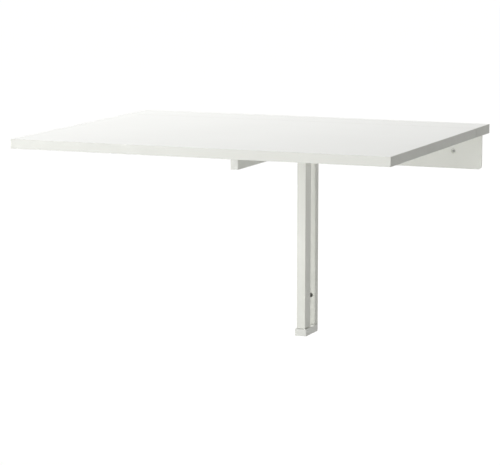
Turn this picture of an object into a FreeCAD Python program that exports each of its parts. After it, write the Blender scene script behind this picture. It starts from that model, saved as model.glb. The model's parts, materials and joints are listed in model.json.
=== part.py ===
# Wall mounted drop leaf table: a narrow shelf on a wall rail, a hinged leaf in front
# of it and a swinging bracket that holds the leaf level.
# Millimetres. +X to the right as seen from the front, +Y into the wall, +Z up.
# The origin lies on the wall plane, in the middle of the rail's line of screw holes.
import FreeCAD
import Part
import Sketcher
import os
import re

os.makedirs("parts", exist_ok=True)
doc = FreeCAD.newDocument("drop_leaf_table")

# ---------------------------------------------------------------- driving sizes
SIZES = {
    # boards: the shelf and the leaf are cut from one kind of board
    "table_width": 740,
    "table_depth": 600,
    "board_thick": 18,
    "band_thick": 1,
    "shelf_depth": 90,
    "seam_gap": 0.5,
    # wall rail, bent from sheet: one flange on the wall, one under the shelf
    "rail_length": 712,
    "rail_height": 72.4,
    "rail_flange": 42,
    "rail_thick": 3,
    "rail_bend": 2,
    "rail_corner": 7,
    "wall_hole_drop": 38,
    "wall_hole_inset": 58,
    "wall_hole_dia": 6,
    "wall_sink_dia": 11,
    "flange_screw_line": 24,
    "flange_screw_inset": 36,
    "tab_width": 40,
    "tab_margin": 18,
    # support: where its pivot stands, and its tubes
    "pivot_offset": 4,
    "pivot_reach": 58.5,
    "support_drop": 418.8,
    "column_width": 18.4,
    "post_depth": 17,
    "upright_depth": 30,
    "tube_wall": 1.5,
    "tube_corner": 0.8,
    "arm_width": 15,
    "arm_height": 30,
    "arm_drop": 41.8,
    "arm_reach": 424,
    "access_hole_drop": 344,
    "access_hole_dia": 9,
    "post_hole_dia": 5.5,
    # foot, pivots and plugs
    "foot_height": 14.4,
    "foot_overhang": 3,
    "foot_lip": 2,
    "foot_back": 8,
    "foot_floor": 2,
    "foot_rib": 4,
    "pin_dia": 8,
    "foot_pin_seat": 4.4,
    "foot_pin_rise": 18,
    "plug_height": 24,
    "bolt_reach": 20,
    "bolt_head_dia": 14,
    "bolt_head_height": 5,
    "washer_dia": 16,
    "washer_thick": 0.8,
    "washer_sink": 0.6,
    "stop_dia": 5,
    "stop_ahead": 12.5,
    "stop_reach": 12,
    # tip of the arm
    "cap_face": 2,
    "cap_plug": 10,
    "saddle_length": 30,
    "saddle_inset": 5,
    "saddle_peg": 6,
    "pad_thick": 2.5,
    "pad_margin": 1.5,
    # flap hinges
    "hinge_inset": 115,
    "hinge_length": 70,
    "hinge_flap": 26,
    "hinge_plate": 2,
    "hinge_corner": 3,
    "hinge_axis_drop": 3.3,
    "knuckle_dia": 6,
    "knuckle_gap": 0.3,
    "hinge_pin_dia": 3,
    "hinge_screw_line": 16,
    "hinge_screw_pitch": 24,
    # screws
    "sink_screw_dia": 3.5,
    "sink_screw_head": 7,
    "sink_screw_length": 13,
    "pan_screw_dia": 4,
    "pan_screw_head": 8,
    "pan_screw_rise": 2.2,
    "pan_screw_length": 15,
    "post_screw_dia": 5,
    "post_screw_head": 9,
    "post_screw_length": 12,
    "post_screw_pitch": 30,
    # clearances
    "fit_gap": 0.1,
    "hole_gap": 0.5,
    "pin_gap": 0.06,
    "swing_gap": 0.3,
    "pad_gap": 0.3,
    "recess_gap": 1,
}
SHELF_SCREWS = 6
WALL_HOLES = 4
KNUCKLES = 5

sheet = doc.addObject("Spreadsheet::Sheet", "Sizes")
for row, (alias, size) in enumerate(SIZES.items(), start=1):
    sheet.set(f"A{row}", alias)
    sheet.set(f"B{row}", str(size))
    sheet.setAlias(f"B{row}", alias)
doc.recompute()

# heights and depths that several pieces share, as formulas in the sheet's names
UNDERSIDE = "wall_hole_drop"
UPRIGHT_TOP = "(rail_thick + washer_thick + swing_gap)"
UPRIGHT_BASE = "(support_drop - foot_height + washer_sink - washer_thick - swing_gap)"
UPRIGHT_FACE = "(pivot_reach + upright_depth / 2)"
ARM_TOP = "(arm_drop - arm_height)"
POST_LENGTH = "(support_drop - foot_floor - rail_thick - rail_bend - fit_gap)"
SADDLE_HEIGHT = f"({ARM_TOP} - pad_gap - pad_thick)"
SHELF_CORE = "(shelf_depth - seam_gap / 2 - band_thick)"
LEAF_CORE = "(table_depth - shelf_depth - seam_gap / 2 - 2 * band_thick)"
CORE_WIDTH = "(table_width - 2 * band_thick)"
INNER_WIDTH = "(column_width - 2 * tube_wall)"
INNER_DEPTH = "(upright_depth - 2 * tube_wall)"


# ---------------------------------------------------------------- drawing helpers
def named(formula):
    """Write a formula's bare names as cells of the sheet."""
    return re.sub(r"[a-z]\w*", lambda word: "Sizes." + word.group(0), str(formula))


def value(formula):
    """The formula's value with the sheet as it is now."""
    return float(sheet.evalExpression(named(formula)))


def bind(thing, prop, formula):
    thing.setExpression(prop, named(formula))


def place(thing, x, y, z):
    for letter, formula in zip("xyz", (x, y, z)):
        bind(thing, f"Placement.Base.{letter}", formula)


def new_body(label, x, y, z):
    """An empty body whose own origin stands at x, y, z."""
    body = doc.addObject("PartDesign::Body", label)
    body.Label = label
    place(body, x, y, z)
    return body


def new_sketch(body, role, lift="0"):
    """A sketch on one of the body's origin planes, lifted along the plane's normal."""
    sketch = body.newObject("Sketcher::SketchObject", body.Label + "_sketch")
    planes = [f for f in body.Origin.OriginFeatures if f.Role == role]
    sketch.AttachmentSupport = (planes[0], [""])
    sketch.MapMode = "FlatFace"
    bind(sketch, "AttachmentOffset.Base.z", lift)
    return sketch


def pin_point(sketch, geometry, vertex, x, y):
    """Hold one point of the sketch at x, y from the origin, both bound to the sheet."""
    for kind, formula in (("DistanceX", x), ("DistanceY", y)):
        rule = Sketcher.Constraint(kind, -1, 1, geometry, vertex, value(formula))
        number = sketch.addConstraint(rule)
        bind(sketch, f"Constraints[{number}]", formula)


def polygon(sketch, corners):
    """A closed outline through corners, each a pair of formulas."""
    points = [FreeCAD.Vector(value(x), value(y), 0) for x, y in corners]
    first = sketch.GeometryCount
    count = len(corners)
    for i in range(count):
        line = Part.LineSegment(points[i], points[(i + 1) % count])
        sketch.addGeometry(line, False)
    for i in range(count):
        after = first + (i + 1) % count
        sketch.addConstraint(Sketcher.Constraint("Coincident", first + i, 2, after, 1))
    for i, (x, y) in enumerate(corners):
        pin_point(sketch, first + i, 1, x, y)


def rectangle(sketch, left, right, low, high):
    polygon(sketch, [(left, low), (right, low), (right, high), (left, high)])


def centred(sketch, wide, tall):
    """A rectangle about the sketch's origin."""
    rectangle(sketch, f"-{wide} / 2", f"{wide} / 2", f"-{tall} / 2", f"{tall} / 2")


def circle(sketch, x, y, diameter):
    centre = FreeCAD.Vector(value(x), value(y), 0)
    ring = Part.Circle(centre, FreeCAD.Vector(0, 0, 1), value(diameter) / 2)
    number = sketch.addGeometry(ring, False)
    pin_point(sketch, number, 3, x, y)
    rule = Sketcher.Constraint("Diameter", number, value(diameter))
    bind(sketch, f"Constraints[{sketch.addConstraint(rule)}]", diameter)


def pad(body, sketch, length, reverse=False):
    feature = body.newObject("PartDesign::Pad", body.Label + "_pad")
    feature.Profile = sketch
    bind(feature, "Length", length)
    feature.Reversed = reverse
    doc.recompute()
    return feature


def pocket(body, sketch, depth="", reverse=False, both=False):
    """Cut the sketch away, to a depth, or through everything if none is given."""
    before = body.Shape.Volume
    feature = body.newObject("PartDesign::Pocket", body.Label + "_pocket")
    feature.Profile = sketch
    if depth:
        bind(feature, "Length", depth)
    else:
        feature.Type = "ThroughAll"
    feature.Reversed = reverse
    feature.Midplane = both
    doc.recompute()
    if not body.Shape.Volume < before - 1e-6:
        raise RuntimeError(f"a pocket in {body.Label} cuts nothing")
    return feature


def revolve(body, sketch):
    """Turn the sketch about the vertical axis of its plane."""
    feature = body.newObject("PartDesign::Revolution", body.Label + "_turned")
    feature.Profile = sketch
    feature.ReferenceAxis = (sketch, ["V_Axis"])
    feature.Angle = 360
    doc.recompute()
    return feature


def sunk_holes(body, sketch, hole, sink, reverse=False):
    """Through holes with a 90 degree countersink on the sketch's side."""
    doc.recompute()
    before = body.Shape.Volume
    feature = body.newObject("PartDesign::Hole", body.Label + "_holes")
    feature.Profile = sketch
    feature.DepthType = "ThroughAll"
    feature.HoleCutType = "Countersink"
    feature.HoleCutCustomValues = True
    feature.HoleCutCountersinkAngle = 90
    feature.Reversed = reverse
    bind(feature, "Diameter", hole)
    bind(feature, "HoleCutDiameter", sink)
    doc.recompute()
    if not body.Shape.Volume < before - 1e-6:
        raise RuntimeError(f"a hole in {body.Label} cuts nothing")
    return feature


def round_edges(body, base, radius, wanted):
    """Round every straight edge of base that wanted(middle, direction) picks."""
    names = []
    for number, edge in enumerate(base.Shape.Edges, start=1):
        if edge.Curve.TypeId != "Part::GeomLine":
            continue
        ends = edge.Vertexes[0].Point, edge.Vertexes[-1].Point
        way = (ends[1] - ends[0]).normalize()
        if wanted((ends[0] + ends[1]) * 0.5, way):
            names.append(f"Edge{number}")
    if not names:
        raise RuntimeError(f"no edge of {body.Label} to round")
    feature = body.newObject("PartDesign::Fillet", body.Label + "_round")
    feature.Base = (base, names)
    bind(feature, "Radius", radius)
    doc.recompute()
    return feature


def near(a, b):
    return abs(a - b) < 1e-4


def upright_edge(way):
    return abs(way.z) > 0.999


def block(label, x, y, z, sizes):
    """A plain rectangular piece, given by its low corner and its three sizes."""
    box = doc.addObject("Part::Box", label)
    box.Label = label
    for prop, formula in zip(("Length", "Width", "Height"), sizes):
        bind(box, prop, formula)
    place(box, x, y, z)
    return box


def rod(label, x, y, z, diameter, length):
    """A plain upright pin, given by the middle of its lower end."""
    pin = doc.addObject("Part::Cylinder", label)
    pin.Label = label
    bind(pin, "Radius", f"{diameter} / 2")
    bind(pin, "Height", length)
    place(pin, x, y, z)
    return pin


def group(label, pieces):
    """Several loose pieces of one kind, kept as one named set."""
    bundle = doc.addObject("Part::Compound", label)
    bundle.Label = label
    bundle.Links = pieces
    return bundle


def mirrored(formula, side):
    return formula if side > 0 else f"-({formula})"


# ---------------------------------------------------------------- positions of screws
def spread(count, span):
    """Formulas for count points spread evenly over span, about the middle."""
    return [f"{span} * {(2 * i - count + 1) / (2 * count - 2):.6f}" for i in range(count)]


WALL_HOLE_SPAN = "(rail_length - 2 * wall_hole_inset)"
FLANGE_SCREW_SPAN = "(rail_length - 2 * flange_screw_inset)"
HINGE_SCREW_SPAN = "(2 * hinge_screw_pitch)"
HINGE_SIDES = {"left": -1, "right": 1}


def hinge_x(side):
    return mirrored("(table_width / 2 - hinge_inset)", side)


def hinge_screw_xs():
    """Every hinge screw's place along the seam."""
    pitches = spread(3, HINGE_SCREW_SPAN)
    return [f"{hinge_x(side)} + {p}" for side in HINGE_SIDES.values() for p in pitches]


# ---------------------------------------------------------------- boards
def shelf_board():
    """The fixed strip along the wall, drilled from below for its screws."""
    body = new_body("shelf_board", "0", "0", UNDERSIDE)
    outline = new_sketch(body, "XY_Plane")
    half = f"{CORE_WIDTH} / 2"
    rectangle(outline, f"-{half}", half, f"-{SHELF_CORE}", "0")
    pad(body, outline, "board_thick")
    pilots = new_sketch(body, "XY_Plane")
    for x in spread(SHELF_SCREWS, FLANGE_SCREW_SPAN):
        circle(pilots, x, "-flange_screw_line", "pan_screw_dia + fit_gap")
    pocket(body, pilots, "pan_screw_length - rail_thick + hole_gap", reverse=True)
    pilots = new_sketch(body, "XY_Plane")
    for x in hinge_screw_xs():
        circle(pilots, x, "-shelf_depth + hinge_screw_line", "sink_screw_dia + fit_gap")
    pocket(body, pilots, "sink_screw_length - hinge_plate + hole_gap", reverse=True)
    recess = new_sketch(body, "XY_Plane")
    circle(recess, "pivot_offset", "-pivot_reach", "bolt_head_dia + 2 * recess_gap")
    pocket(body, recess, "bolt_head_height + recess_gap", reverse=True)
    return body


def leaf_board():
    """The leaf that hangs from the seam, drilled from below for its hinge screws."""
    body = new_body("leaf_board", "0", "-shelf_depth", UNDERSIDE)
    outline = new_sketch(body, "XY_Plane")
    half = f"{CORE_WIDTH} / 2"
    back = "-(seam_gap / 2 + band_thick)"
    rectangle(outline, f"-{half}", half, f"{back} - {LEAF_CORE}", back)
    pad(body, outline, "board_thick")
    pilots = new_sketch(body, "XY_Plane")
    for x in hinge_screw_xs():
        circle(pilots, x, "-hinge_screw_line", "sink_screw_dia + fit_gap")
    pocket(body, pilots, "sink_screw_length - hinge_plate + hole_gap", reverse=True)
    return body


def edge_bands():
    """Edging strips: the side strips cover the core, the long ones run full width."""
    sides = {"left": "-table_width / 2", "right": "table_width / 2 - band_thick"}
    strips = []
    for side, x in sides.items():
        label = f"shelf_band_{side}"
        sizes = ("band_thick", SHELF_CORE, "board_thick")
        strips.append(block(label, x, f"-{SHELF_CORE}", UNDERSIDE, sizes))
        label = f"leaf_band_{side}"
        sizes = ("band_thick", LEAF_CORE, "board_thick")
        front = "-table_depth + band_thick"
        strips.append(block(label, x, front, UNDERSIDE, sizes))
    lines = {
        "shelf_band_front": "-shelf_depth + seam_gap / 2",
        "leaf_band_rear": "-shelf_depth - seam_gap / 2 - band_thick",
        "leaf_band_front": "-table_depth",
    }
    for label, y in lines.items():
        sizes = ("table_width", "band_thick", "board_thick")
        strips.append(block(label, "-table_width / 2", y, UNDERSIDE, sizes))
    return strips


# ---------------------------------------------------------------- wall rail
def wall_rail():
    """Bent sheet: the wall flange, the shelf flange and a tab that holds the pivot."""
    body = new_body("wall_rail", "0", "0", UNDERSIDE)
    face = new_sketch(body, "XZ_Plane")
    rectangle(face, "-rail_length / 2", "rail_length / 2", "-rail_height", "0")
    pad(body, face, "rail_thick")
    plan = new_sketch(body, "XY_Plane")
    tab_left = "pivot_offset - tab_width / 2"
    tab_right = "pivot_offset + tab_width / 2"
    tab_front = "-(pivot_reach + tab_margin)"
    polygon(plan, [
        ("-rail_length / 2", "0"),
        ("rail_length / 2", "0"),
        ("rail_length / 2", "-rail_flange"),
        (tab_right, "-rail_flange"),
        (tab_right, tab_front),
        (tab_left, tab_front),
        (tab_left, "-rail_flange"),
        ("-rail_length / 2", "-rail_flange"),
    ])
    sheet_bent = pad(body, plan, "rail_thick", reverse=True)

    thick = value("rail_thick")
    low = value("-rail_height")
    front = value("-rail_flange")

    def outer_bend(middle, way):
        return abs(way.x) > 0.999 and near(middle.y, 0) and near(middle.z, 0)

    def inner_bend(middle, way):
        return abs(way.x) > 0.999 and near(middle.y, -thick) and near(middle.z, -thick)

    def corner(middle, way):
        below = abs(way.y) > 0.999 and near(middle.z, low)
        ahead = abs(way.z) > 0.999 and middle.y < front + 1e-4
        return below or ahead

    bent = round_edges(body, sheet_bent, "rail_bend + rail_thick", outer_bend)
    bent = round_edges(body, bent, "rail_bend", inner_bend)
    round_edges(body, bent, "rail_corner", corner)

    holes = new_sketch(body, "XZ_Plane", "rail_thick")
    for x in spread(WALL_HOLES, WALL_HOLE_SPAN):
        circle(holes, x, "-wall_hole_drop", "wall_hole_dia")
    sunk_holes(body, holes, "wall_hole_dia", "wall_sink_dia")
    holes = new_sketch(body, "XZ_Plane")
    for z in post_screw_heights():
        circle(holes, "pivot_offset", z, "post_screw_dia + 2 * fit_gap")
    head = "post_screw_head + hole_gap"
    sunk_holes(body, holes, "post_screw_dia + 2 * fit_gap", head, reverse=True)
    holes = new_sketch(body, "XY_Plane")
    for x in spread(SHELF_SCREWS, FLANGE_SCREW_SPAN):
        circle(holes, x, "-flange_screw_line", "pan_screw_dia + hole_gap")
    circle(holes, "pivot_offset", "-pivot_reach", "pin_dia + 2 * fit_gap")
    circle(holes, stop_x(), stop_y(), "stop_dia")
    pocket(body, holes, "2 * rail_thick")
    return body


def post_screw_heights():
    """The post's two screws, spaced about the middle of the rail's free height."""
    middle = "-(rail_thick + rail_height) / 2"
    return [f"{middle} + post_screw_pitch / 2", f"{middle} - post_screw_pitch / 2"]


def stop_x():
    return "pivot_offset + column_width / 2 + swing_gap + stop_dia / 2"


def stop_y():
    return "-(pivot_reach + stop_ahead)"


# ---------------------------------------------------------------- fixed support
def rear_post():
    """Tube on the wall, stepped at the top to sit over the rail's wall flange."""
    base = f"{UNDERSIDE} - support_drop + foot_floor"
    body = new_body("rear_post", "pivot_offset", "0", base)
    section = new_sketch(body, "XY_Plane")
    half = "column_width / 2"
    rectangle(section, f"-{half}", half, "-post_depth", "0")
    inner = f"{INNER_WIDTH} / 2"
    rectangle(section, f"-{inner}", inner, "-post_depth + tube_wall", "-tube_wall")
    tube = pad(body, section, POST_LENGTH)
    edge_x = value(half)

    def outer_corner(middle, way):
        return upright_edge(way) and near(abs(middle.x), edge_x)

    round_edges(body, tube, "tube_corner", outer_corner)
    step = new_sketch(body, "YZ_Plane")
    top = POST_LENGTH
    foot_of_step = "support_drop - foot_floor - rail_height - hole_gap"
    rectangle(step, "-(rail_thick + fit_gap)", "post_depth", foot_of_step, f"{top} + post_depth")
    pocket(body, step, both=True)
    hole_height = "support_drop - foot_floor - access_hole_drop"
    access = new_sketch(body, "XZ_Plane", "post_depth")
    circle(access, "0", hole_height, "access_hole_dia")
    pocket(body, access, "2 * tube_wall")
    screw_way = new_sketch(body, "XZ_Plane")
    circle(screw_way, "0", hole_height, "post_hole_dia")
    pocket(body, screw_way, "2 * tube_wall", reverse=True)
    return body


def post_plug():
    """Block inside the top of the post, which takes the two screws from the rail."""
    tall = "(rail_height - rail_thick - rail_bend)"
    base = f"{UNDERSIDE} - rail_height"
    body = new_body("post_plug", "pivot_offset", "0", base)
    plan = new_sketch(body, "XY_Plane")
    half = f"({INNER_WIDTH} / 2 - fit_gap)"
    front = "-(post_depth - tube_wall - fit_gap)"
    rectangle(plan, f"-{half}", half, front, "-(rail_thick + fit_gap)")
    pad(body, plan, f"{tall} - 2 * fit_gap")
    holes = new_sketch(body, "XZ_Plane", "rail_thick + fit_gap")
    for z in post_screw_heights():
        circle(holes, "0", f"rail_height + {z}", "post_screw_dia + fit_gap")
    pocket(body, holes, "post_screw_length - rail_thick + hole_gap", reverse=True)
    return body


def foot_cap():
    """Moulded foot: grips the post at the back and carries the pivot pin in front."""
    body = new_body("foot_cap", "pivot_offset", "0", f"{UNDERSIDE} - support_drop")
    plan = new_sketch(body, "XY_Plane")
    half = "(column_width / 2 + foot_overhang)"
    front = f"-({UPRIGHT_FACE} + foot_lip)"
    rectangle(plan, f"-{half}", half, front, "-foot_back")
    whole = pad(body, plan, "foot_height")
    round_edges(body, whole, "foot_overhang / 2", lambda m, way: upright_edge(way))
    socket = new_sketch(body, "XY_Plane", "foot_floor")
    grip = "(column_width / 2 + fit_gap)"
    rectangle(socket, f"-{grip}", grip, "-(post_depth + fit_gap)", "0")
    pocket(body, socket, "foot_height", reverse=True)
    seat = new_sketch(body, "XY_Plane", "foot_pin_seat")
    circle(seat, "0", "-pivot_reach", "pin_dia")
    pocket(body, seat, "foot_height", reverse=True)
    recess = new_sketch(body, "XY_Plane", "foot_height - washer_sink")
    circle(recess, "0", "-pivot_reach", "washer_dia + 2 * fit_gap")
    pocket(body, recess, "foot_height", reverse=True)
    hollow = new_sketch(body, "XY_Plane")
    back = "-(post_depth + foot_rib)"
    ahead = "-(pivot_reach - pin_dia / 2 - foot_rib)"
    rectangle(hollow, f"-({half} - foot_overhang)", f"{half} - foot_overhang", ahead, back)
    pocket(body, hollow, "foot_height - foot_floor", reverse=True)
    return body


def washer(label, z):
    """Thin slip ring about a pivot."""
    body = new_body(label, "pivot_offset", "-pivot_reach", z)
    ring = new_sketch(body, "XY_Plane")
    circle(ring, "0", "0", "washer_dia")
    circle(ring, "0", "0", "pin_dia + 2 * fit_gap")
    pad(body, ring, "washer_thick")
    return body


def foot_pin():
    """Steel pin that stands in the foot and turns in the upright's lower plug."""
    z = f"{UNDERSIDE} - support_drop + foot_pin_seat"
    tall = "foot_height - foot_pin_seat + foot_pin_rise"
    return rod("foot_pin", "pivot_offset", "-pivot_reach", z, "pin_dia", tall)


def pivot_bolt():
    """Headed bolt through the rail's tab; its head lies in a recess of the shelf."""
    body = new_body("pivot_bolt", "pivot_offset", "-pivot_reach", UNDERSIDE)
    profile = new_sketch(body, "XZ_Plane")
    low = "-(rail_thick + bolt_reach)"
    polygon(profile, [
        ("0", low),
        ("pin_dia / 2", low),
        ("pin_dia / 2", "0"),
        ("bolt_head_dia / 2", "0"),
        ("bolt_head_dia / 2", "bolt_head_height / 2"),
        ("pin_dia / 2", "bolt_head_height"),
        ("0", "bolt_head_height"),
    ])
    revolve(body, profile)
    return body


def swing_stop():
    """Stud in the rail's tab that the upright rests against when the arm is out."""
    z = f"{UNDERSIDE} - stop_reach"
    return rod("swing_stop", stop_x(), stop_y(), z, "stop_dia", "stop_reach")


# ---------------------------------------------------------------- swinging support
def swing_upright():
    """Tube that turns about the pivot axis and carries the arm."""
    base = f"{UNDERSIDE} - {UPRIGHT_BASE}"
    body = new_body("swing_upright", "pivot_offset", "-pivot_reach", base)
    section = new_sketch(body, "XY_Plane")
    centred(section, "column_width", "upright_depth")
    centred(section, INNER_WIDTH, INNER_DEPTH)
    tube = pad(body, section, f"{UPRIGHT_BASE} - {UPRIGHT_TOP}")
    edge_x = value("column_width / 2")

    def outer_corner(middle, way):
        return upright_edge(way) and near(abs(middle.x), edge_x)

    round_edges(body, tube, "tube_corner", outer_corner)
    return body


def upright_plug(label, z):
    """Block in an end of the upright, bored as the bearing of its pivot."""
    body = new_body(label, "pivot_offset", "-pivot_reach", z)
    plan = new_sketch(body, "XY_Plane")
    centred(plan, f"({INNER_WIDTH} - 2 * fit_gap)", f"({INNER_DEPTH} - 2 * fit_gap)")
    circle(plan, "0", "0", "pin_dia + 2 * pin_gap")
    pad(body, plan, "plug_height")
    return body


def support_arm():
    """Rectangular tube that stands out from the upright, under the leaf."""
    base = f"{UNDERSIDE} - arm_drop"
    body = new_body("support_arm", "pivot_offset", f"-{UPRIGHT_FACE}", base)
    section = new_sketch(body, "XZ_Plane")
    half = "arm_width / 2"
    rectangle(section, f"-{half}", half, "0", "arm_height")
    inner = "(arm_width / 2 - tube_wall)"
    rectangle(section, f"-{inner}", inner, "tube_wall", "arm_height - tube_wall")
    tube = pad(body, section, f"arm_reach - cap_face - {UPRIGHT_FACE}")
    edge_x = value(half)

    def outer_corner(middle, way):
        return abs(way.y) > 0.999 and near(abs(middle.x), edge_x)

    round_edges(body, tube, "tube_corner", outer_corner)
    peg_hole = new_sketch(body, "XY_Plane", "arm_height")
    circle(peg_hole, "0", f"{UPRIGHT_FACE} - {saddle_middle()}", "saddle_peg")
    pocket(body, peg_hole, "2 * tube_wall")
    return body


def saddle_middle():
    """How far the saddle's middle stands from the wall."""
    return "(arm_reach - cap_face - saddle_inset - saddle_length / 2)"


def arm_end_cap():
    """Moulded cap: a face as large as the tube's end and a plug that fills it."""
    base = f"{UNDERSIDE} - arm_drop"
    body = new_body("arm_end_cap", "pivot_offset", "-(arm_reach - cap_face)", base)
    face = new_sketch(body, "XZ_Plane")
    rectangle(face, "-arm_width / 2", "arm_width / 2", "0", "arm_height")
    plate = pad(body, face, "cap_face")
    reach = value("-cap_face")

    def front_edge(middle, way):
        return near(middle.y, reach)

    round_edges(body, plate, "cap_face / 3", front_edge)
    plug = new_sketch(body, "XZ_Plane")
    half = "(arm_width / 2 - tube_wall - fit_gap)"
    low = "(tube_wall + fit_gap)"
    rectangle(plug, f"-{half}", half, low, f"arm_height - {low}")
    pad(body, plug, "cap_plug", reverse=True)
    return body


def tip_saddle():
    """Block pegged on top of the arm, which brings it up to the leaf."""
    z = f"{UNDERSIDE} - {ARM_TOP}"
    body = new_body("tip_saddle", "pivot_offset", f"-{saddle_middle()}", z)
    plan = new_sketch(body, "XY_Plane")
    centred(plan, "arm_width", "saddle_length")
    whole = pad(body, plan, SADDLE_HEIGHT)
    round_edges(body, whole, "pad_margin", lambda m, way: upright_edge(way))
    peg = new_sketch(body, "XY_Plane")
    circle(peg, "0", "0", "saddle_peg - 2 * fit_gap")
    pad(body, peg, "3 * tube_wall", reverse=True)
    return body


def tip_pad():
    """Rubber pad on the saddle, on which the leaf rests."""
    z = f"{UNDERSIDE} - pad_gap - pad_thick"
    body = new_body("tip_pad", "pivot_offset", f"-{saddle_middle()}", z)
    plan = new_sketch(body, "XY_Plane")
    centred(plan, "(arm_width - 2 * pad_margin)", "(saddle_length - 2 * pad_margin)")
    whole = pad(body, plan, "pad_thick")
    round_edges(body, whole, "pad_margin", lambda m, way: upright_edge(way))
    return body


# ---------------------------------------------------------------- hinges
def knuckle_place(number):
    """One knuckle's start and length along the hinge, as formulas."""
    share = f"(hinge_length / {KNUCKLES})"
    start = f"-hinge_length / 2 + {number} * {share} + knuckle_gap / 2"
    return start, f"{share} - knuckle_gap"


def hinge_plate(label, side, to_wall, knuckles):
    """One flap with its knuckles; to_wall is 1 for the shelf's flap, -1 for the leaf's."""
    z = f"{UNDERSIDE} - hinge_axis_drop"
    body = new_body(label, hinge_x(side), "-shelf_depth", z)
    low = "(hinge_axis_drop - hinge_plate)"
    flap = new_sketch(body, "XY_Plane", low)
    near_edge = mirrored("knuckle_dia / 2 + knuckle_gap", to_wall)
    far_edge = mirrored("hinge_flap", to_wall)
    half = "hinge_length / 2"
    rectangle(flap, f"-{half}", half, near_edge, far_edge)
    plate = pad(body, flap, "hinge_plate")
    far = value(far_edge)

    def free_corner(middle, way):
        return upright_edge(way) and near(middle.y, far)

    round_edges(body, plate, "hinge_corner", free_corner)
    for number in knuckles:
        start, length = knuckle_place(number)
        web = new_sketch(body, "YZ_Plane", start)
        rectangle(web, "0", mirrored("knuckle_dia", to_wall), low, "hinge_axis_drop")
        pad(body, web, length)
        barrel = new_sketch(body, "YZ_Plane", start)
        circle(barrel, "0", "0", "knuckle_dia")
        pad(body, barrel, length)
    bore = new_sketch(body, "YZ_Plane")
    loose = "" if to_wall > 0 else " + 2 * pin_gap"
    circle(bore, "0", "0", "hinge_pin_dia" + loose)
    pocket(body, bore, both=True)
    holes = new_sketch(body, "XY_Plane", low)
    line = mirrored("hinge_screw_line", to_wall)
    for x in spread(3, HINGE_SCREW_SPAN):
        circle(holes, x, line, "sink_screw_dia + hole_gap")
    sink = "sink_screw_head + hole_gap"
    sunk_holes(body, holes, "sink_screw_dia + hole_gap", sink, reverse=True)
    return body


def hinge_pin(label, side):
    """Pin through all the knuckles of one hinge."""
    pin = doc.addObject("Part::Cylinder", label)
    pin.Label = label
    bind(pin, "Radius", "hinge_pin_dia / 2")
    bind(pin, "Height", "hinge_length")
    lengthwise = FreeCAD.Rotation(FreeCAD.Vector(0, 1, 0), 90)
    pin.Placement = FreeCAD.Placement(FreeCAD.Vector(), lengthwise)
    start = f"{hinge_x(side)} - hinge_length / 2"
    place(pin, start, "-shelf_depth", f"{UNDERSIDE} - hinge_axis_drop")
    return pin


def hinges():
    pieces = []
    for name, side in HINGE_SIDES.items():
        hinge = f"hinge_{name}"
        pieces.append(hinge_plate(f"{hinge}_shelf_flap", side, 1, (0, 2, 4)))
        pieces.append(hinge_plate(f"{hinge}_leaf_flap", side, -1, (1, 3)))
        pieces.append(hinge_pin(f"{hinge}_pin", side))
        for part, to_wall in (("shelf", 1), ("leaf", -1)):
            label = f"{hinge}_{part}_screws"
            y = "-shelf_depth + " + mirrored("hinge_screw_line", to_wall)
            z = f"{UNDERSIDE} - hinge_plate"
            screws = []
            for number, step in enumerate(spread(3, HINGE_SCREW_SPAN), start=1):
                x = f"{hinge_x(side)} + {step}"
                screws.append(sunk_screw(f"{label}_{number}", x, y, z, "sink_screw"))
            pieces.append(group(label, screws))
    return pieces


# ---------------------------------------------------------------- screws
def cross_slot(body, z, dia):
    """Cut a cross recess into a head whose outer face lies at height z."""
    arm = f"({dia} * 0.55)"
    web = f"({dia} * 0.14)"
    cross = new_sketch(body, "XY_Plane", z)
    steps = [(arm, web), (web, web), (web, arm)]
    corners = []
    for sx, sy in ((1, 1), (-1, 1), (-1, -1), (1, -1)):
        turn = steps if sx * sy > 0 else steps[::-1]
        corners += [(mirrored(x, sx), mirrored(y, sy)) for x, y in turn]
    polygon(cross, corners)
    pocket(body, cross, f"{dia} * 0.35", reverse=True)


def sunk_screw(label, x, y, z, kind):
    """Countersunk screw pointing along its own +Z, its head's face at the origin."""
    body = new_body(label, x, y, z)
    shank = f"{kind}_dia / 2"
    head = f"{kind}_head / 2"
    profile = new_sketch(body, "XZ_Plane")
    polygon(profile, [
        ("0", "0"),
        (head, "0"),
        (shank, f"{head} - {shank}"),
        (shank, f"{kind}_length - {kind}_dia"),
        (f"{shank} / 4", f"{kind}_length"),
        ("0", f"{kind}_length"),
    ])
    revolve(body, profile)
    cross_slot(body, "0", f"{kind}_dia")
    return body


def pan_screw(label, x, y, z):
    """Pan head screw pointing up, the underside of its head at the origin."""
    body = new_body(label, x, y, z)
    head = "pan_screw_head / 2"
    shank = "pan_screw_dia / 2"
    profile = new_sketch(body, "XZ_Plane")
    polygon(profile, [
        ("0", "-pan_screw_rise"),
        (f"{head} * 0.7", "-pan_screw_rise"),
        (head, "-pan_screw_rise * 0.45"),
        (head, "0"),
        (shank, "0"),
        (shank, "pan_screw_length - pan_screw_dia"),
        (f"{shank} / 4", "pan_screw_length"),
        ("0", "pan_screw_length"),
    ])
    revolve(body, profile)
    cross_slot(body, "-pan_screw_rise", "pan_screw_dia")
    return body


def shelf_screws():
    """The screws that hold the shelf down on the rail's flange."""
    z = f"{UNDERSIDE} - rail_thick"
    screws = []
    for number, x in enumerate(spread(SHELF_SCREWS, FLANGE_SCREW_SPAN), start=1):
        screws.append(pan_screw(f"shelf_screw_{number}", x, "-flange_screw_line", z))
    return group("shelf_screws", screws)


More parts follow.
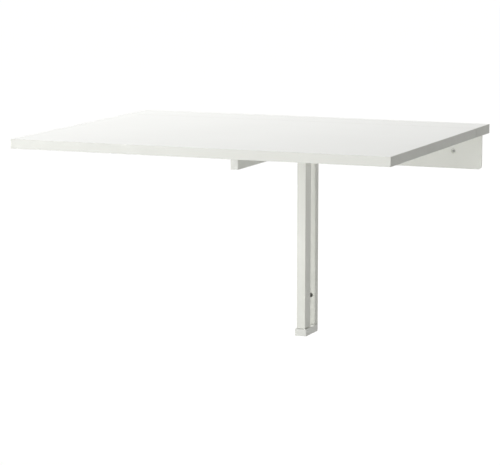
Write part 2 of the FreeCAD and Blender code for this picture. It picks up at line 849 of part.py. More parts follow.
def post_screws():
    """The two screws that hold the post to the rail, put in from the wall side."""
    screws = []
    for number, z in enumerate(post_screw_heights(), start=1):
        label = f"post_screw_{number}"
        screw = sunk_screw(label, "pivot_offset", "0", "0", "post_screw")
        outward = FreeCAD.Rotation(FreeCAD.Vector(1, 0, 0), 90)
        screw.Placement = FreeCAD.Placement(FreeCAD.Vector(), outward)
        place(screw, "pivot_offset", "-fit_gap", f"{UNDERSIDE} + {z}")
        screws.append(screw)
    return group("post_screws", screws)


# ---------------------------------------------------------------- the assembly
def build():
    lower_plug = f"{UNDERSIDE} - {UPRIGHT_BASE}"
    upper_plug = f"{UNDERSIDE} - {UPRIGHT_TOP} - plug_height"
    foot_recess = f"{UNDERSIDE} - support_drop + foot_height - washer_sink"
    under_tab = f"{UNDERSIDE} - rail_thick - washer_thick"
    pieces = [shelf_board(), leaf_board()]
    pieces += edge_bands()
    pieces += [wall_rail(), shelf_screws()]
    pieces += [rear_post(), post_plug(), post_screws(), foot_cap(), foot_pin()]
    pieces += [washer("foot_washer", foot_recess), washer("top_washer", under_tab)]
    pieces += [pivot_bolt(), swing_stop()]
    pieces += [swing_upright(), support_arm(), arm_end_cap(), tip_saddle(), tip_pad()]
    pieces += [upright_plug("upright_top_plug", upper_plug)]
    pieces += [upright_plug("upright_foot_plug", lower_plug)]
    pieces += hinges()
    return pieces


def check(pieces):
    """Stop unless every object computed and every piece is a whole, valid shape."""
    for thing in doc.Objects:
        if "Invalid" in thing.State or "Error" in thing.State:
            raise RuntimeError(f"{thing.Name}: {thing.State}")
    for piece in pieces:
        if piece.Shape.isNull() or not piece.Shape.isValid() or not piece.Shape.Solids:
            raise RuntimeError(f"{piece.Label} has no valid shape")


pieces = build()
doc.recompute()
check(pieces)
for piece in pieces:
    piece.Shape.exportStep(f"parts/{piece.Label}.step")
    size = piece.Shape.BoundBox
    print(f"{piece.Label}: {len(piece.Shape.Solids)} solid(s), {piece.Shape.Volume:.0f} mm3,",
          f"x {size.XMin:.1f}..{size.XMax:.1f} y {size.YMin:.1f}..{size.YMax:.1f}",
          f"z {size.ZMin:.1f}..{size.ZMax:.1f}")
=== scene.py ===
# %% [markdown]
# # Wall mounted drop leaf table
# The solids of the table come in first, as a frame that stays where it is. Everything that
# follows is dressing: lights and a camera, finishes made of shader nodes, and pieces of mesh
# that show what a machinist's solid leaves out, such as rounded edges and a weld bead.

# %% Load the frame
import json
import math
import random

import bmesh
import bpy
from mathutils import Matrix, Vector

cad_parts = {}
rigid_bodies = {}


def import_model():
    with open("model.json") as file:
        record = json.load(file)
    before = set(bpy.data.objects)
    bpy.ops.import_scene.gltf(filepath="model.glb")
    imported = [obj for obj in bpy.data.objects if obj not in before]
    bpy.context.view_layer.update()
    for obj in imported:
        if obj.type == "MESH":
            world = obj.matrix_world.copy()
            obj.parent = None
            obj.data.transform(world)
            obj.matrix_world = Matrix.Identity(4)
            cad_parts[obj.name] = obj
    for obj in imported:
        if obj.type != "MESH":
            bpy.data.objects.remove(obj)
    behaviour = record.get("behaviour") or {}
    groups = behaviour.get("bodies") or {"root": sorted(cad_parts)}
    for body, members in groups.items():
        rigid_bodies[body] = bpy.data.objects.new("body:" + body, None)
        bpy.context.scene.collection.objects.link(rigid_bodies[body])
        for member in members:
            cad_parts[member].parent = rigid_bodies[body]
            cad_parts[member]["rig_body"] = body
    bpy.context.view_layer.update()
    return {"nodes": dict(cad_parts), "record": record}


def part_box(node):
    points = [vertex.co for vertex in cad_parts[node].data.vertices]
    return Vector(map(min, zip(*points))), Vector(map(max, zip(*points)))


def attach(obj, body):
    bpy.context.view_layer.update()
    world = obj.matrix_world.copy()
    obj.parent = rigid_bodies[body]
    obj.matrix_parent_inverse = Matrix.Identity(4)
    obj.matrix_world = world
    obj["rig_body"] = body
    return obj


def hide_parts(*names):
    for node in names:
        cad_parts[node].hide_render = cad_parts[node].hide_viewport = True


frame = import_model()

# %% [markdown]
# ## Camera
# A long lens from well back keeps the table's edges nearly parallel, as in a product view.
# The camera is given by its place and by three angles, which become the three directions
# of its own axes. A lens could also be aimed with a Track To constraint, but plain numbers
# can be checked and never drift.

# %% Camera
EYE = Vector((1.6918, -4.4937, 0.5386))
TURN, TILT, ROLL = (math.radians(angle) for angle in (22.14, 8.52, 0.07))
IMAGE_WIDE = 500
FOCUS_PIXELS = 2388.2


def add_object(name, data):
    """A new object in the scene that shows the mesh, lamp or camera."""
    thing = bpy.data.objects.new(name, data)
    bpy.context.scene.collection.objects.link(thing)
    return thing


ahead = Vector((-math.sin(TURN) * math.cos(TILT), math.cos(TURN) * math.cos(TILT), -math.sin(TILT)))
level = Vector((math.cos(TURN), math.sin(TURN), 0))
above = level.cross(ahead)
right = math.cos(ROLL) * level + math.sin(ROLL) * above
above = right.cross(ahead)

lens = bpy.data.cameras.new("camera")
lens.sensor_fit = "HORIZONTAL"
lens.lens = lens.sensor_width * FOCUS_PIXELS / IMAGE_WIDE
camera = add_object("camera", lens)
camera.matrix_world = Matrix.Translation(EYE) @ Matrix((right, above, -ahead)).transposed().to_4x4()
bpy.context.scene.camera = camera
bpy.context.scene.view_settings.view_transform = "Standard"
print("lens", round(lens.lens, 1), "mm")

# %% [markdown]
# ## Nodes written as code
# World, floor and finishes are small trees of nodes. In the shader editor each node is placed
# and its inputs are typed in or linked by hand. Four helpers do the same here: one feeds an
# input, one adds a node with its settings, and two add nodes that reckon with numbers and
# with vectors.

# %% Node helpers
def feed(tree, value, socket):
    """Give an input a link from another node, or a plain number, vector or colour."""
    if isinstance(value, bpy.types.NodeSocket):
        tree.links.new(value, socket)
    elif socket.type == "RGBA":
        socket.default_value = (*value, 1)
    else:
        socket.default_value = value


def add_node(tree, kind, **settings):
    """A new node. What is no setting of the node itself is one of its inputs."""
    node = tree.nodes.new(kind)
    for name, value in settings.items():
        if hasattr(node, name):
            setattr(node, name, value)
        else:
            feed(tree, value, node.inputs[name.replace("_", " ")])
    return node


def math_node(tree, operation, *values):
    """The result of a Math node whose inputs are given in order."""
    node = add_node(tree, "ShaderNodeMath", operation=operation)
    for socket, value in zip(node.inputs, values):
        feed(tree, value, socket)
    return node.outputs[0]


def vector_node(tree, operation, first, second):
    """The outputs of a Vector Math node of two vectors."""
    node = add_node(tree, "ShaderNodeVectorMath", operation=operation)
    feed(tree, first, node.inputs[0])
    feed(tree, second, node.inputs[1])
    return node.outputs


# %% [markdown]
# ## World
# The room around is white and empty. Light Path tells who looks: the world is white to the
# camera and in reflections, and dim to everything else, so that the background does not flood
# the table with light. What light it gives is faintly warm, as from the walls of a white room.

# %% World
WORLD_LIGHT = 0.152
WARM = (1, 1, 0.9)
WHITE = (1, 1, 1)


def empty_tree(owner):
    """The node tree of a new world or material, with nothing in it."""
    owner.use_nodes = True
    owner.node_tree.nodes.clear()
    return owner.node_tree


def mix_shaders(tree, share, first, second):
    """The first shader where share is 0, and the second where it is 1."""
    node = add_node(tree, "ShaderNodeMixShader")
    for socket, value in zip(node.inputs, (share, first.outputs[0], second.outputs[0])):
        feed(tree, value, socket)
    return node


def seen_directly(tree):
    """1 for rays of the camera, of reflections and of glass, and 0 for all others."""
    path = add_node(tree, "ShaderNodeLightPath")
    seen = math_node(tree, "MAXIMUM", path.outputs["Is Camera Ray"], path.outputs["Is Glossy Ray"])
    return math_node(tree, "MAXIMUM", seen, path.outputs["Is Transmission Ray"])


world = bpy.data.worlds.new("studio")
bpy.context.scene.world = world
tree = empty_tree(world)
dim = add_node(tree, "ShaderNodeBackground", Color=WARM, Strength=WORLD_LIGHT)
white = add_node(tree, "ShaderNodeBackground", Color=WHITE, Strength=1.0)
either = mix_shaders(tree, seen_directly(tree), dim, white)
add_node(tree, "ShaderNodeOutputWorld", Surface=either.outputs[0])
print("world light", WORLD_LIGHT)

# %% [markdown]
# ## Floor
# The table hangs on a wall and its floor is a table's height below. The floor is a pale
# diffuse sheet, so that it takes the table's shadow. A little glow, which only the camera and
# reflections see, lifts it to white. The lift grows with distance from the lamps, as their own
# light fails, so the shadow stays to be seen. From below the sheet is clear, because a wall
# table is also looked at from underneath.

# %% Floor finish
FLOOR_DROP = 0.70
PAPER = (0.8, 0.8, 0.8)
LIFT_CENTRE = (-1.0, -0.3, -FLOOR_DROP)
NEAR, FAR = 0.5, 4.5
LIFT_NEAR, LIFT_FAR = 0.28, 0.89


def clear_from_behind(tree, shader):
    """The shader on a sheet's front, and nothing on its back."""
    clear = add_node(tree, "ShaderNodeBsdfTransparent")
    back = add_node(tree, "ShaderNodeNewGeometry").outputs["Backfacing"]
    return mix_shaders(tree, back, shader, clear)


floor_material = bpy.data.materials.new("pale_floor")
tree = empty_tree(floor_material)
here = add_node(tree, "ShaderNodeTexCoord").outputs["Object"]
away = vector_node(tree, "DISTANCE", here, LIFT_CENTRE)["Value"]
glow = add_node(tree, "ShaderNodeMapRange", Value=away, From_Min=NEAR, From_Max=FAR,
                To_Min=LIFT_NEAR, To_Max=LIFT_FAR)
glow = math_node(tree, "MULTIPLY", seen_directly(tree), glow.outputs[0])
lift = add_node(tree, "ShaderNodeEmission", Color=WHITE, Strength=glow)
paper = add_node(tree, "ShaderNodeBsdfDiffuse", Color=PAPER)
both = add_node(tree, "ShaderNodeAddShader")
feed(tree, paper.outputs[0], both.inputs[0])
feed(tree, lift.outputs[0], both.inputs[1])
add_node(tree, "ShaderNodeOutputMaterial", Surface=clear_from_behind(tree, both).outputs[0])
print("floor glows from", LIFT_NEAR, "near the lamps to", LIFT_FAR, "far away")

# %% [markdown]
# The sheet is one square, so wide that its ends are never seen. It could be a plane from the
# Add menu, but a grid made in bmesh needs no selected object and no mouse.

# %% Floor
FLOOR_REACH = 60

sheet = bmesh.new()
bmesh.ops.create_grid(sheet, x_segments=1, y_segments=1, size=FLOOR_REACH)
sheet.transform(Matrix.Translation((0, 0, -FLOOR_DROP)))
mesh = bpy.data.meshes.new("floor")
sheet.to_mesh(mesh)
sheet.free()
mesh.materials.append(floor_material)
floor = add_object("floor", mesh)
print("floor", FLOOR_DROP, "m below the screw holes,", floor.dimensions.x, "m wide")

# %% [markdown]
# ## Wall behind the rail's holes
# The wall itself is left out, but its paint is seen through the rail's screw holes. So a small
# disc of it lies in each hole, a hair in front of the rail's back, where it shades nothing
# else. The discs' grey is painted shade: it is darker than the wall itself, to stand for the
# shade inside the holes. The holes' places and sizes come from the record. The discs are
# stage, not table, and like the floor they are clear from their back.

# %% Wall behind the rail's holes
# The grey below is painted shade: the wall is made darker here to stand for the shade inside the
# screw holes.
WALL_PAINT_AND_SHADE = (0.45, 0.45, 0.44)
IN_FRONT = 0.0002
FILLED = 0.98

paint = bpy.data.materials.new("wall_shade_paint")
tree = empty_tree(paint)
dull = add_node(tree, "ShaderNodeBsdfDiffuse", Color=WALL_PAINT_AND_SHADE)
add_node(tree, "ShaderNodeOutputMaterial", Surface=clear_from_behind(tree, dull).outputs[0])

standing = Matrix.Rotation(math.radians(90), 4, "X")
discs = bmesh.new()
holes = [mount["dims"] for mount in frame["record"]["mounts"] if mount["kind"] == "bolt_pattern"]
for hole in holes:
    radius = FILLED * hole["hole_r_mm"] / 1000
    half_apart = hole["spacing_x_mm"] / 1000 / 2
    for x in (-half_apart, half_apart):
        place = Matrix.Translation((x, -IN_FRONT, 0)) @ standing
        bmesh.ops.create_circle(discs, cap_ends=True, segments=32, radius=radius, matrix=place)
mesh = bpy.data.meshes.new("wall_discs")
discs.to_mesh(mesh)
discs.free()
mesh.materials.append(paint)
wall = add_object("wall_discs", mesh)
print(len(mesh.polygons), "wall discs, which face", tuple(mesh.polygons[0].normal))

# %% [markdown]
# ## Lamps
# Four soft boxes light the table. The highest is beyond the left end and a little behind the
# wall's line, so the top is brightest there and the right-hand sides fall into an even half
# shade. Two low ones, left and right, reach under the shelf to the rail and light the column
# evenly over its whole height, because they stand far off. The last is in front and keeps the
# long front edge pale. It is left out of reflections: seen from behind, the satin top would
# mirror it as a bleached patch. None is strong enough to bleach the white paint by itself.

# %% Lamps
def soft_box(name, place, aim, wide, tall, watts):
    """A rectangular lamp at place that points at aim."""
    lamp = bpy.data.lights.new(name, "AREA")
    lamp.shape = "RECTANGLE"
    lamp.size, lamp.size_y = wide, tall
    lamp.energy = watts
    body = add_object(name, lamp)
    body.location = place
    body.rotation_euler = (Vector(aim) - Vector(place)).to_track_quat("-Z", "Y").to_euler()
    print(name, watts, "W")
    return body


LEAF_MIDDLE = (0, -0.3, 0)
UNDER_LEAF = (0, -0.3, -0.1)
soft_box("high_lamp", (-1.8, 0.8, 2.8), LEAF_MIDDLE, wide=1.6, tall=1.6, watts=108)
soft_box("low_left_lamp", (-2.2, -3.6, -0.3), UNDER_LEAF, wide=1.0, tall=0.7, watts=41)
soft_box("low_right_lamp", (1.5, -4.2, -0.3), UNDER_LEAF, wide=0.8, tall=0.7, watts=15)
front_lamp = soft_box("front_lamp", (0.6, -4.6, 1.2), LEAF_MIDDLE, wide=1.6, tall=1.2, watts=46)
front_lamp.visible_glossy = False

# %% [markdown]
# ## Effects that several finishes share
# A finish looks real when it is uneven in a few different ways at once. Each way is a node
# group with named inputs and outputs, made once and placed in each material with its own
# values. Groups give only masks and heights. Lengths are in metres on the real piece.

# %% Making a node group
def new_group(name, takes, gives):
    """A new group, what it is given and what it makes. An input with no start is a vector."""
    group = bpy.data.node_groups.new(name, "ShaderNodeTree")
    for label, start in takes.items():
        kind = "NodeSocketVector" if start is None else "NodeSocketFloat"
        socket = group.interface.new_socket(label, in_out="INPUT", socket_type=kind)
        if start is not None:
            socket.default_value = start
    for label in gives:
        group.interface.new_socket(label, in_out="OUTPUT", socket_type="NodeSocketFloat")
    print("group", name)
    given = group.nodes.new("NodeGroupInput").outputs
    made = group.nodes.new("NodeGroupOutput").inputs
    return group, given, made


# %% [markdown]
# **Fine relief** is the small bumpiness of a finish: the orange peel of powder coat or the
# spark texture of a mould. A Noise texture of the right size gives it. Two noises, one
# three times finer, keep it from looking like one regular ripple.

# %% Fine relief
FINER = 3.1
FINE_SHARE = 0.35

relief, given, made = new_group("Fine relief", {"Place": None, "Size": 0.001}, ["Height"])
detail = math_node(relief, "DIVIDE", 1.0, given["Size"])
coarse = add_node(relief, "ShaderNodeTexNoise", Vector=given["Place"], Scale=detail, Detail=1.0)
finer = math_node(relief, "MULTIPLY", detail, FINER)
fine = add_node(relief, "ShaderNodeTexNoise", Vector=given["Place"], Scale=finer, Detail=1.0)
share = math_node(relief, "MULTIPLY", fine.outputs["Fac"], FINE_SHARE)
total = math_node(relief, "MULTIPLY_ADD", coarse.outputs["Fac"], 1 - FINE_SHARE, share)
relief.links.new(total, made["Height"])

# %% [markdown]
# **Drawn grain** is what rolling, brushing or a printed foil leaves: fine lines along one
# direction. A Mapping node could stretch the noise too, but its direction is typed in as
# angles. Here it is an input, Along, and a few vector sums shorten the part of a place that
# lies along it, so that a speck becomes a line. Stretch is how many times longer than wide the
# lines are. Clouds are the same, a dozen times larger.

# %% Drawn grain
CLOUDS_COARSER = 0.08

takes = {"Place": None, "Along": None, "Size": 0.0008, "Stretch": 30.0}
grain, given, made = new_group("Drawn grain", takes, ["Lines", "Clouds"])
keep = math_node(grain, "DIVIDE", 1.0, given["Stretch"])
less = math_node(grain, "SUBTRACT", 1.0, keep)
length = vector_node(grain, "DOT_PRODUCT", given["Place"], given["Along"])["Value"]
cut = math_node(grain, "MULTIPLY", length, less)
pull = add_node(grain, "ShaderNodeVectorMath", operation="SCALE", Vector=given["Along"], Scale=cut)
squeezed = vector_node(grain, "SUBTRACT", given["Place"], pull.outputs[0])["Vector"]
detail = math_node(grain, "DIVIDE", 1.0, given["Size"])
lines = add_node(grain, "ShaderNodeTexNoise", Vector=squeezed, Scale=detail, Detail=3.0)
wide = math_node(grain, "MULTIPLY", detail, CLOUDS_COARSER)
clouds = add_node(grain, "ShaderNodeTexNoise", Vector=squeezed, Scale=wide, Detail=2.0)
grain.links.new(lines.outputs["Fac"], made["Lines"])
grain.links.new(clouds.outputs["Fac"], made["Clouds"])

# %% [markdown]
# **Handling** is the slow change over a whole piece: a faint difference in shade, and places
# that hands and cloths have made a little smoother. Two large noises at different sizes do it.
# Most of a noise lies between 0.3 and 0.7, so each is spread out to run from 0 to 1.

# %% Handling
SMEAR_FINER = 4.3
NOISE_LOW, NOISE_HIGH = 0.3, 0.7

handling, given, made = new_group("Handling", {"Place": None, "Size": 0.15}, ["Shade", "Smear"])
detail = math_node(handling, "DIVIDE", 1.0, given["Size"])
shade = add_node(handling, "ShaderNodeTexNoise", Vector=given["Place"], Scale=detail, Detail=2.0)
rub = math_node(handling, "MULTIPLY", detail, SMEAR_FINER)
smear = add_node(handling, "ShaderNodeTexNoise", Vector=given["Place"], Scale=rub,
                 Detail=4.0, Distortion=0.6)
for noise, label in ((shade, "Shade"), (smear, "Smear")):
    spread = add_node(handling, "ShaderNodeMapRange", Value=noise.outputs["Fac"],
                      From_Min=NOISE_LOW, From_Max=NOISE_HIGH)
    handling.links.new(spread.outputs[0], made[label])

# %% [markdown]
# **Edge wear** finds the edges of a solid without any drawing: the Bevel node gives the
# normal that a rounded edge would have, and where it leans away from the true one there is an
# edge. The lean is small, so it is multiplied. Noise breaks the mask up, because coats never
# wear evenly.

# %% Edge wear
EDGE_GAIN = 5.0

takes = {"Place": None, "Width": 0.0008, "Size": 0.004}
wear, given, made = new_group("Edge wear", takes, ["Mask"])
rounded = add_node(wear, "ShaderNodeBevel", samples=4, Radius=given["Width"]).outputs[0]
plain = add_node(wear, "ShaderNodeNewGeometry").outputs["Normal"]
alike = vector_node(wear, "DOT_PRODUCT", rounded, plain)["Value"]
edge = math_node(wear, "SUBTRACT", 1.0, alike)
edge = math_node(wear, "MULTIPLY", edge, EDGE_GAIN)
detail = math_node(wear, "DIVIDE", 1.0, given["Size"])
patch = add_node(wear, "ShaderNodeTexNoise", Vector=given["Place"], Scale=detail, Detail=3.0)
worn = math_node(wear, "MULTIPLY", edge, patch.outputs["Fac"])
worn = math_node(wear, "MINIMUM", worn, 1.0)
wear.links.new(math_node(wear, "MAXIMUM", worn, 0.0), made["Mask"])


# %% [markdown]
# ## Finishes
# A finish starts from one colour and then takes what it needs from the groups. The helpers
# below place a group, mix two colours by a mask, vary a number between two ends, turn a height
# into a bump whose depth is a real length, and hand all of it to the shader.

# %% Finish helpers
def start_finish(name):
    """A new material, its tree, its shader, and where a point lies on the table in metres."""
    material = bpy.data.materials.new(name)
    material.use_nodes = True
    tree = material.node_tree
    print("finish", name)
    place = add_node(tree, "ShaderNodeTexCoord").outputs["Object"]
    return material, tree, tree.nodes["Principled BSDF"], place


def use(tree, group, **values):
    """Place a group in a finish and return its outputs."""
    return add_node(tree, "ShaderNodeGroup", node_tree=group, **values).outputs


def blend_colours(tree, mask, first, second):
    """The first colour where the mask is 0, and the second where it is 1."""
    mix = add_node(tree, "ShaderNodeMix", data_type="RGBA")
    takes = {socket.identifier: socket for socket in mix.inputs}
    feed(tree, mask, takes["Factor_Float"])
    feed(tree, first, takes["A_Color"])
    feed(tree, second, takes["B_Color"])
    return next(socket for socket in mix.outputs if socket.identifier == "Result_Color")


def vary(tree, mask, low, high):
    """A number between low and high that follows the mask."""
    return math_node(tree, "MULTIPLY_ADD", mask, high - low, low)


def bump(tree, height, depth, strength):
    """A normal that the height tilts, where a height of 1 is depth metres."""
    node = add_node(tree, "ShaderNodeBump", Strength=strength, Distance=depth, Height=height)
    return node.outputs[0]


def set_shader(tree, shader, **values):
    """Feed the shader's inputs, whose names have _ for each space."""
    for name, value in values.items():
        feed(tree, value, shader.inputs[name.replace("_", " ")])


# %% [markdown]
# **White foil** covers the particleboard. It is a printed and sealed paper, satin, with a
# very fine pore pressed in along the board's length. Coat would be wrong here: the seal is
# part of the foil, so plain roughness near the middle is enough.

# %% White foil
foil, tree, shader, here = start_finish("white_foil")
lines = use(tree, grain, Place=here, Along=(1, 0, 0), Size=0.0007, Stretch=26.0)
hands = use(tree, handling, Place=here, Size=0.22)
tint = blend_colours(tree, hands["Shade"], (0.845, 0.848, 0.832), (0.862, 0.865, 0.85))
streak = vary(tree, lines["Lines"], 0.0, 0.10)
set_shader(tree, shader,
           Base_Color=blend_colours(tree, streak, tint, (0.79, 0.795, 0.775)),
           Roughness=vary(tree, hands["Smear"], 0.40, 0.47),
           Normal=bump(tree, lines["Lines"], depth=0.00003, strength=0.6))

# %% [markdown]
# **White edging** is an extruded plastic strip, glued on and scraped flush. It is a touch
# greyer and warmer than the foil, and the scraper leaves faint lines along the long strips.

# %% White edging
edging, tree, shader, here = start_finish("white_edging")
lines = use(tree, grain, Place=here, Along=(1, 0, 0), Size=0.0009, Stretch=40.0)
hands = use(tree, handling, Place=here, Size=0.12)
worn = use(tree, wear, Place=here, Width=0.0006, Size=0.006)
tint = blend_colours(tree, hands["Shade"], (0.79, 0.797, 0.757), (0.807, 0.814, 0.775))
tint = blend_colours(tree, vary(tree, lines["Clouds"], 0.0, 0.22), tint, (0.756, 0.766, 0.725))
set_shader(tree, shader,
           Base_Color=blend_colours(tree, worn["Mask"], tint, (0.845, 0.85, 0.81)),
           Roughness=vary(tree, hands["Smear"], 0.36, 0.45),
           Normal=bump(tree, lines["Lines"], depth=0.00002, strength=0.6))

# %% [markdown]
# **White powder coat** is sprayed on the steel as dust and melted. It leaves a soft orange
# peel about a millimetre across, thins a little at the edges and looks slightly greyer there.

# %% White powder coat
powder, tree, shader, here = start_finish("white_powder_coat")
peel = use(tree, relief, Place=here, Size=0.0011)
hands = use(tree, handling, Place=here, Size=0.09)
worn = use(tree, wear, Place=here, Width=0.0007, Size=0.003)
tint = blend_colours(tree, hands["Shade"], (0.828, 0.836, 0.785), (0.848, 0.855, 0.805))
thin = vary(tree, worn["Mask"], 0.0, 0.5)
set_shader(tree, shader,
           Base_Color=blend_colours(tree, thin, tint, (0.74, 0.745, 0.725)),
           Roughness=vary(tree, hands["Smear"], 0.34, 0.43),
           Normal=bump(tree, peel["Height"], depth=0.00006, strength=0.7))

# %% [markdown]
# **Moulded white plastic** is used for the foot and the arm's end cap. The mould is spark
# eroded, which gives a matt skin of tiny pits, and a little light travels inside the plastic.

# %% Moulded white plastic
moulded, tree, shader, here = start_finish("moulded_white_plastic")
pits = use(tree, relief, Place=here, Size=0.0004)
hands = use(tree, handling, Place=here, Size=0.03)
worn = use(tree, wear, Place=here, Width=0.0008, Size=0.003)
tint = blend_colours(tree, hands["Shade"], (0.797, 0.805, 0.768), (0.822, 0.829, 0.792))
rubbed = vary(tree, worn["Mask"], 0.0, 0.6)
set_shader(tree, shader,
           Base_Color=blend_colours(tree, rubbed, tint, (0.85, 0.855, 0.83)),
           Roughness=vary(tree, hands["Smear"], 0.28, 0.38),
           Subsurface_Weight=0.15,
           Subsurface_Radius=(1, 1, 1),
           Subsurface_Scale=0.002,
           Normal=bump(tree, pits["Height"], depth=0.00004, strength=0.7))

# %% [markdown]
# **Natural nylon** makes the bearing plugs and slip washers. It is milky and a little cream,
# so more light travels inside it than inside the white plastic, and red light goes deepest.

# %% Natural nylon
nylon, tree, shader, here = start_finish("natural_nylon")
pits = use(tree, relief, Place=here, Size=0.0006)
hands = use(tree, handling, Place=here, Size=0.02)
set_shader(tree, shader,
           Base_Color=blend_colours(tree, hands["Shade"], (0.76, 0.745, 0.68), (0.80, 0.79, 0.73)),
           Roughness=vary(tree, hands["Smear"], 0.38, 0.5),
           Subsurface_Weight=0.25,
           Subsurface_Radius=(1, 0.8, 0.6),
           Subsurface_Scale=0.002,
           Normal=bump(tree, pits["Height"], depth=0.00003, strength=0.6))

# %% [markdown]
# **Grey rubber** is the pad on which the leaf rests. It is matt, dusty, and rubbed paler on
# its edges.

# %% Grey rubber
rubber, tree, shader, here = start_finish("grey_rubber")
pits = use(tree, relief, Place=here, Size=0.0005)
hands = use(tree, handling, Place=here, Size=0.012)
worn = use(tree, wear, Place=here, Width=0.0006, Size=0.002)
tint = blend_colours(tree, hands["Shade"], (0.20, 0.20, 0.205), (0.26, 0.26, 0.265))
set_shader(tree, shader,
           Base_Color=blend_colours(tree, worn["Mask"], tint, (0.40, 0.40, 0.40)),
           Roughness=vary(tree, hands["Smear"], 0.72, 0.86),
           Normal=bump(tree, pits["Height"], depth=0.00006, strength=0.8))

# %% [markdown]
# **Zinc plated steel** covers screws, hinges and pins. Plating follows the rolled sheet, so it
# has drawn lines and cloudy patches of duller zinc, and its edges are burnished brighter. The
# lines are a little rougher than the metal between them.

# %% Zinc plated steel
LINE_ROUGH = 0.14

zinc, tree, shader, here = start_finish("zinc_plated_steel")
lines = use(tree, grain, Place=here, Along=(1, 0, 0), Size=0.0004, Stretch=18.0)
hands = use(tree, handling, Place=here, Size=0.012)
worn = use(tree, wear, Place=here, Width=0.0004, Size=0.002)
tint = blend_colours(tree, hands["Shade"], (0.56, 0.57, 0.585), (0.68, 0.68, 0.67))
rough = vary(tree, hands["Smear"], 0.26, 0.40)
set_shader(tree, shader,
           Base_Color=blend_colours(tree, worn["Mask"], tint, (0.80, 0.80, 0.80)),
           Roughness=math_node(tree, "MULTIPLY_ADD", lines["Lines"], LINE_ROUGH, rough),
           Metallic=1.0,
           Normal=bump(tree, lines["Lines"], depth=0.00002, strength=0.6))

# %% [markdown]
# ## Finishes on the frame
# The frame's solids carry the names of their material slots. Each slot gets its finish here,
# by putting the new material in place of the plain one.

# %% Finishes on the frame
FINISHES = {
    "board": foil,
    "edge_band": edging,
    "painted_steel": powder,
    "cap_plastic": moulded,
    "bearing_plastic": nylon,
    "pad_rubber": rubber,
    "plated_steel": zinc,
}
for solid in frame["nodes"].values():
    for slot in solid.material_slots:
        slot.material = FINISHES[slot.material.name.split(".")[0]]
print("finishes on", len(frame["nodes"]), "solids")

# %% [markdown]
# ## Softened solids
# A solid has knife edges, and no light ever catches them. Real sheet and tube is rounded by
# cutting, tumbling and paint. A Bevel modifier would do it on a clean mesh, but these meshes
# come as loose triangles. So each is copied, its seams are welded, flat triangles are joined,
# and only then are the sharp edges bevelled. Weighted normals keep the flats flat.

# %% Softening
SAME_PLACE = 1e-6
FLAT_ANGLE = math.radians(1)
SHARP_ANGLE = math.radians(35)
LARGE_FACES_WIN = 100


def finish_piece(name, shape, finish, body, slot, *nodes):
    """Turn a bmesh into a shown piece that stands for the nodes."""
    mesh = bpy.data.meshes.new(name)
    shape.to_mesh(mesh)
    shape.free()
    mesh.materials.append(finish)
    mesh.shade_smooth()
    piece = add_object(name, mesh)
    weighted = piece.modifiers.new("flats stay flat", "WEIGHTED_NORMAL")
    weighted.weight = LARGE_FACES_WIN
    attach(piece, body)
    if nodes:
        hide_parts(*nodes)
    return piece


def soften(node, radius, slot, steps=2):
    """A copy of one solid with every sharp edge rounded by radius, in metres."""
    solid = frame["nodes"][node]
    shape = bmesh.new()
    shape.from_mesh(solid.data)
    bmesh.ops.remove_doubles(shape, verts=shape.verts, dist=SAME_PLACE)
    bmesh.ops.dissolve_limit(shape, angle_limit=FLAT_ANGLE, verts=shape.verts, edges=shape.edges)
    sharp = [edge for edge in shape.edges if abs(edge.calc_face_angle(0)) > SHARP_ANGLE]
    bmesh.ops.bevel(shape, geom=sharp, offset=radius, segments=steps, profile=0.5,
                    affect="EDGES", clamp_overlap=True)
    return finish_piece(node + "_soft", shape, FINISHES[slot], solid["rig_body"], slot, node)


# %% [markdown]
# The radius is what each making leaves, in metres: half a millimetre on painted sheet and on
# rubber, a little less on mouldings and turned pins, less again on sawn tube and stamped
# hinges, and only a hair on screws.

# %% Softened solids
SHEET = RUBBER = 0.0005
MOULDING = PIN = 0.0004
TUBE = HINGE = 0.0003
SHELF_SCREW = 0.0002
HINGE_SCREW = 0.0001

soften("wall_rail", SHEET, "painted_steel", steps=3)
for node in ("rear_post", "swing_upright", "support_arm"):
    soften(node, TUBE, "painted_steel")
for node in ("arm_end_cap", "foot_cap"):
    soften(node, MOULDING, "cap_plastic", steps=3)
for node in ("tip_saddle", "upright_foot_plug", "upright_top_plug"):
    soften(node, MOULDING, "bearing_plastic")
soften("tip_pad", RUBBER, "pad_rubber", steps=3)
for node in ("pivot_bolt", "foot_pin", "swing_stop"):
    soften(node, PIN, "plated_steel")
for side in ("left", "right"):
    for part in ("shelf", "leaf"):
        soften(f"hinge_{side}_{part}_flap", HINGE, "plated_steel")
        soften(f"hinge_{side}_{part}_screws", HINGE_SCREW, "plated_steel")
    soften(f"hinge_{side}_pin", HINGE, "plated_steel")
soften("shelf_screws", SHELF_SCREW, "plated_steel")

# %% [markdown]
# ## Edging strips
# The strips are a millimetre thick and are scraped round where they meet the air, but stay
# square where they meet the board. So each is built here from its own box: eight corners, six
# faces, and a bevel on the chosen edges only.

# %% Edging strips
def edging_strip(node, outward, radius, ends):
    """A strip with its long outward edges rounded, and the upright ones too if ends is True."""
    low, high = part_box(node)
    shape = bmesh.new()
    bmesh.ops.create_cube(shape, size=1)
    shape.transform(Matrix.Translation((low + high) / 2) @ Matrix.Diagonal((*(high - low), 1)))
    outward = Vector(outward)
    face_at = max(vert.co.dot(outward) for vert in shape.verts)
    outer = [edge for edge in shape.edges
             if all(abs(vert.co.dot(outward) - face_at) < SAME_PLACE for vert in edge.verts)]
    level = [edge for edge in outer if abs(edge.verts[0].co.z - edge.verts[1].co.z) < SAME_PLACE]
    posts = [edge for edge in outer if edge not in level] if ends else []
    bmesh.ops.bevel(shape, geom=level + posts, offset=radius, segments=4, profile=0.5,
                    affect="EDGES", clamp_overlap=True)
    return finish_piece(node + "_strip", shape, edging, frame["nodes"][node]["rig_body"],
                        "edge_band", node)


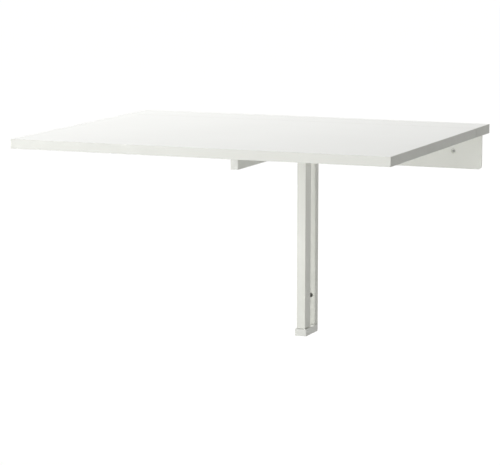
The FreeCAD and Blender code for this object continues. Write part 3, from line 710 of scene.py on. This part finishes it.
SCRAPED = 0.0007
SEAM = 0.0002
STRIPS = (
    ("leaf_band_front", (0, -1, 0), SCRAPED, True),
    ("leaf_band_left", (-1, 0, 0), SCRAPED, False),
    ("leaf_band_right", (1, 0, 0), SCRAPED, False),
    ("leaf_band_rear", (0, 1, 0), SEAM, False),
    ("shelf_band_front", (0, -1, 0), SEAM, False),
    ("shelf_band_left", (-1, 0, 0), SCRAPED, False),
    ("shelf_band_right", (1, 0, 0), SCRAPED, False),
)
for node, outward, radius, ends in STRIPS:
    edging_strip(node, outward, radius, ends)

# %% [markdown]
# ## Weld bead
# The arm is welded to the upright all round. A bead is a row of overlapping drops, so it is
# swept here as rings of points along the joint, each ring swelling and shrinking as the drops
# do. It is thick above and below, where there is room, and thin at the sides. First comes
# its path: close points round the tube, each with the direction that faces away from it.

# %% Path of the bead
CORNER_TURN = 15


def rounded_loop(low, high, radius, step):
    """Points and outward directions round a rectangle in X and Z with rounded corners."""
    points = []
    corners = [(high.x - radius, high.z - radius, 0), (low.x + radius, high.z - radius, 90),
               (low.x + radius, low.z + radius, 180), (high.x - radius, low.z + radius, 270)]
    for x, z, start in corners:
        for turn in range(0, 90 + 1, CORNER_TURN):
            angle = math.radians(start + turn)
            way = Vector((math.cos(angle), 0, math.sin(angle)))
            points.append((Vector((x, 0, z)) + way * radius, way))
    dense = []
    for (here, way), (after, turned) in zip(points, points[1:] + points[:1]):
        count = max(1, round((after - here).length / step))
        for part in range(count):
            share = part / count
            dense.append((here.lerp(after, share), way.lerp(turned, share).normalized()))
    return dense


# %% [markdown]
# Each ring is a hollow quarter round, from the tube to the upright's face, closed by one point
# sunk in the metal behind it. The rings could be a bevelled curve, but a curve keeps one
# section all the way round, and a weld does not.

# %% Weld bead
BEAD_STEP = 0.0004
BEAD_ROOT = 0.0004
DROP_LENGTH = 0.0019
LEG = 0.0013
ROOM_ABOVE = 0.0013
SWELL = 0.14
SHAKE = 0.02
HOLLOW = 1.4
ARC_STEPS = 6


def weld_bead(name, node, wall, radius, seed):
    """A bead in the corner between the tube called node and the flat face at y = wall."""
    low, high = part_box(node)
    dice = random.Random(seed)
    shape = bmesh.new()
    rings = []
    travelled = 0.0
    loop = rounded_loop(low, high, radius, BEAD_STEP)
    for number, (point, way) in enumerate(loop):
        travelled += (point - loop[number - 1][0]).length
        drop = abs(math.sin(math.pi * travelled / DROP_LENGTH))
        leg = LEG + ROOM_ABOVE * abs(way.z) ** 2
        leg *= 1 - SWELL + SWELL * drop + dice.uniform(-SHAKE, SHAKE)
        ring = []
        for step in range(ARC_STEPS + 1):
            angle = math.radians(90 * step / ARC_STEPS)
            out = leg * math.cos(angle) ** HOLLOW
            along = leg * math.sin(angle) ** HOLLOW
            ring.append(shape.verts.new(point + way * out + Vector((0, wall - along, 0))))
        root = point - way * BEAD_ROOT + Vector((0, wall + BEAD_ROOT, 0))
        ring.append(shape.verts.new(root))
        rings.append(ring)
    for ring, after in zip(rings, rings[1:] + rings[:1]):
        for step in range(len(ring)):
            nearby = (step + 1) % len(ring)
            shape.faces.new((ring[step], ring[nearby], after[nearby], after[step]))
    bmesh.ops.recalc_face_normals(shape, faces=shape.faces)
    return finish_piece(name, shape, powder, frame["nodes"][node]["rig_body"], "painted_steel")


TUBE_CORNER = 0.0008
UPRIGHT_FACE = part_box("support_arm")[1].y
arm_weld = weld_bead("arm_weld", "support_arm", UPRIGHT_FACE, TUBE_CORNER, seed=3)
print("weld bead with", len(arm_weld.data.vertices), "points")
